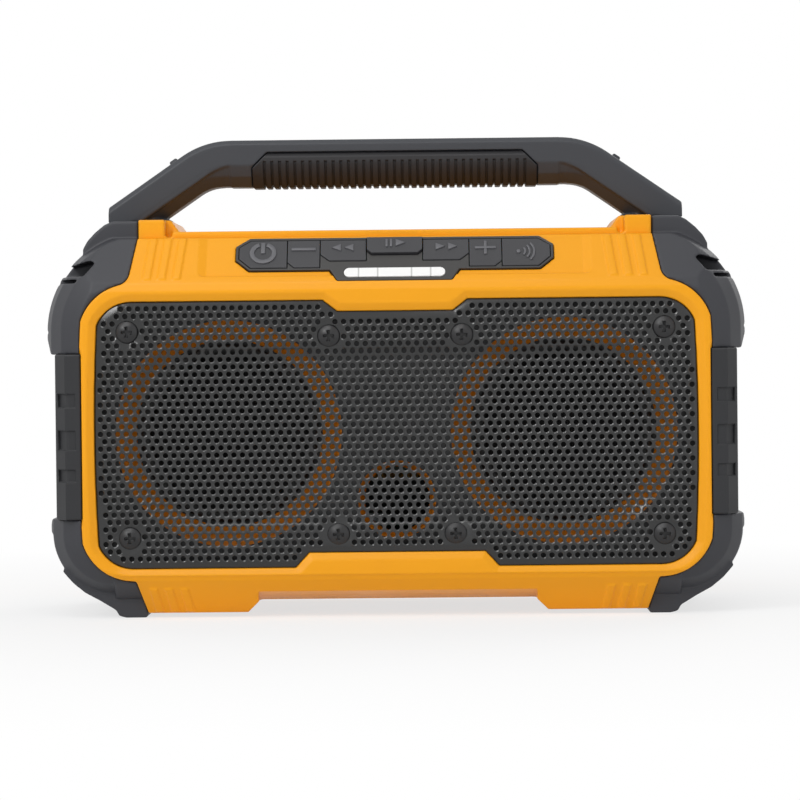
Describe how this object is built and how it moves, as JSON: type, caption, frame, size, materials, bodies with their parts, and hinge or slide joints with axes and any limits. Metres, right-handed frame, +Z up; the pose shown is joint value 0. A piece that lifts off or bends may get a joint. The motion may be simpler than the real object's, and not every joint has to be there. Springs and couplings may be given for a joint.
{
  "type": "portable wireless speaker",
  "caption": "Rugged portable speaker: orange case with a screwed-on perforated grille, black end bumpers, control slope with keys and light bar, and a fixed carrying handle.",
  "frame": {"origin": "centre of the footprint, on the floor", "axes": "+Z up, front faces -Y, +X to the right as seen from the front"},
  "size_m": [0.314, 0.124, 0.215],
  "materials": {
    "orange_shell": "satin moulded ABS",
    "gasket": "matt",
    "grille_steel": "satin black powder coat",
    "black_screw": "black oxide",
    "black_moulding": "satin",
    "bumper_rubber": "matt moulded",
    "handle_plastic": "matt moulded",
    "grip_rubber": "matt ribbed",
    "panel_plastic": "matt",
    "key_rubber": "matt",
    "light_diffuser": "opal",
    "circuit_board": "solder mask",
    "switch_plastic": "moulded",
    "driver_steel": "stove enamel",
    "magnet_ferrite": "sintered",
    "plated_steel": "zinc plated",
    "cone_paper": "pressed paper",
    "surround_rubber": "soft",
    "spider_cloth": "impregnated cloth",
    "copper_coil": "enamelled wire",
    "heat_sink_aluminium": "extruded",
    "cell_wrap": "shrink wrap",
    "lead_insulation": "smooth"
  },
  "bodies": {
    "case": {"front_shell": "orange_shell", "rear_shell": "orange_shell", "shell_gasket": "gasket", "front_grille": "grille_steel", "grille_screws": "black_screw", "baffle_cover": "black_moulding", "bass_port_tube": "black_moulding", "left_bumper": "bumper_rubber", "right_bumper": "bumper_rubber", "left_side_grip": "bumper_rubber", "right_side_grip": "bumper_rubber", "handle_frame": "handle_plastic", "handle_grip": "grip_rubber", "control_panel": "panel_plastic", "light_bar_lens": "light_diffuser", "control_board": "circuit_board", "key_switches": "switch_plastic", "left_basket": "driver_steel", "right_basket": "driver_steel", "left_magnet": "magnet_ferrite", "right_magnet": "magnet_ferrite", "left_yoke": "plated_steel", "right_yoke": "plated_steel", "left_surround": "surround_rubber", "right_surround": "surround_rubber", "left_spider": "spider_cloth", "right_spider": "spider_cloth", "driver_screws": "plated_steel", "main_board": "circuit_board", "heat_sink": "heat_sink_aluminium", "wireless_module": "switch_plastic", "capacitors": "switch_plastic", "battery_tray": "black_moulding", "battery_cells": "cell_wrap", "port_bay": "black_moulding", "port_board": "circuit_board", "charge_socket": "plated_steel", "audio_jack": "black_moulding", "port_door_pin": "plated_steel", "case_screws": "plated_steel", "handle_screws": "plated_steel", "board_screws": "plated_steel", "bumper_screws": "plated_steel", "left_speaker_lead": "lead_insulation", "right_speaker_lead": "lead_insulation", "battery_lead": "lead_insulation"},
    "power_key_body": {"power_key": "key_rubber"},
    "volume_down_key_body": {"volume_down_key": "key_rubber"},
    "previous_key_body": {"previous_key": "key_rubber"},
    "play_key_body": {"play_key": "key_rubber"},
    "next_key_body": {"next_key": "key_rubber"},
    "volume_up_key_body": {"volume_up_key": "key_rubber"},
    "pairing_key_body": {"pairing_key": "key_rubber"},
    "left_cone_body": {"left_cone": "cone_paper", "left_dust_cap": "cone_paper", "left_voice_coil": "copper_coil"},
    "right_cone_body": {"right_cone": "cone_paper", "right_dust_cap": "cone_paper", "right_voice_coil": "copper_coil"},
    "port_door_body": {"port_door": "black_moulding"}
  },
  "joints": [
    {"name": "power_press", "type": "slide", "parent": "case", "child": "power_key_body", "axis": [0, 0.7883, -0.6153], "range_m": [0, 0.0008], "stiffness_N_per_m": 600},
    {"name": "volume_down_press", "type": "slide", "parent": "case", "child": "volume_down_key_body", "axis": [0, 0.7883, -0.6153], "range_m": [0, 0.0008], "stiffness_N_per_m": 600},
    {"name": "previous_press", "type": "slide", "parent": "case", "child": "previous_key_body", "axis": [0, 0.7883, -0.6153], "range_m": [0, 0.0008], "stiffness_N_per_m": 600},
    {"name": "play_press", "type": "slide", "parent": "case", "child": "play_key_body", "axis": [0, 0.7883, -0.6153], "range_m": [0, 0.0008], "stiffness_N_per_m": 600},
    {"name": "next_press", "type": "slide", "parent": "case", "child": "next_key_body", "axis": [0, 0.7883, -0.6153], "range_m": [0, 0.0008], "stiffness_N_per_m": 600},
    {"name": "volume_up_press", "type": "slide", "parent": "case", "child": "volume_up_key_body", "axis": [0, 0.7883, -0.6153], "range_m": [0, 0.0008], "stiffness_N_per_m": 600},
    {"name": "pairing_press", "type": "slide", "parent": "case", "child": "pairing_key_body", "axis": [0, 0.7883, -0.6153], "range_m": [0, 0.0008], "stiffness_N_per_m": 600},
    {"name": "left_cone_stroke", "type": "slide", "parent": "case", "child": "left_cone_body", "axis": [0, -1, 0], "range_m": [-0.002, 0.002], "stiffness_N_per_m": 2000, "deforming": ["left_surround", "left_spider"]},
    {"name": "right_cone_stroke", "type": "slide", "parent": "case", "child": "right_cone_body", "axis": [0, -1, 0], "range_m": [-0.002, 0.002], "stiffness_N_per_m": 2000, "deforming": ["right_surround", "right_spider"]},
    {"name": "port_door_hinge", "type": "hinge", "parent": "case", "child": "port_door_body", "pos_m": [0, 0.0603, 0.0344], "axis": [-1, 0, 0], "range_deg": [0, 100]}
  ]
}
